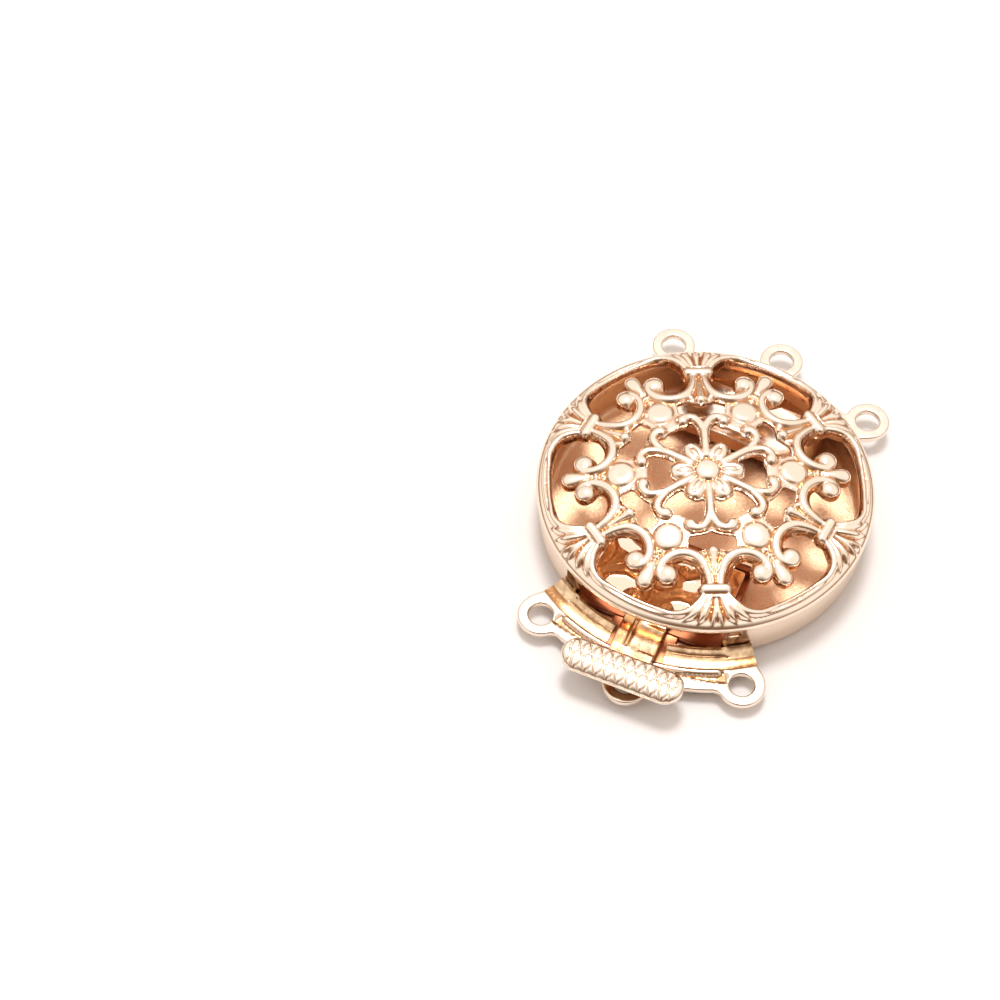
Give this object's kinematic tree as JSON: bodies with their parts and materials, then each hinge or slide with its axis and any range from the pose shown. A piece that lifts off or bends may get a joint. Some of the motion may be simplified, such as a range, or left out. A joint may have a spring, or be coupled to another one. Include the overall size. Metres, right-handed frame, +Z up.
{
  "type": "three-strand box clasp",
  "caption": "Round box clasp with a pierced domed cover, fixed strand loops on one side and a slide-in tongue with strand loops and a thumb pad on the other.",
  "frame": {"origin": "centre of the case's flat base", "axes": "+Z up through the pierced cover, +Y towards the fixed loops, the tongue slides out towards -Y"},
  "size_m": [0.027, 0.0374, 0.0071],
  "materials": {
    "case_metal": "rose gold plating, polished outside and matte inside",
    "cover_metal": "polished pale rose gold plating",
    "bar_metal": "polished pale rose gold plating",
    "plate_metal": "polished pale rose gold plating",
    "leaf_metal": "mirror polished rose gold plating",
    "pad_metal": "polished pale rose gold plating"
  },
  "bodies": {
    "case": {"case_cup": "case_metal", "filigree_cover": "cover_metal", "catch_lug_left": "cover_metal", "catch_lug_right": "cover_metal", "loop_bar": "bar_metal"},
    "tongue": {"tongue_plate": "plate_metal"},
    "leaf": {"spring_leaf": "leaf_metal", "thumb_pad": "pad_metal"}
  },
  "joints": [
    {"name": "tongue_slide", "type": "slide", "parent": "case", "child": "tongue", "axis": [0, -1, 0], "range_m": [0, 0.0092]},
    {"name": "leaf_press", "type": "hinge", "parent": "tongue", "child": "leaf", "pos_m": [0, -0.00528, 0.00258], "axis": [1, 0, 0], "range_deg": [0, 2.6], "stiffness_Nm_per_rad": 0.05}
  ]
}
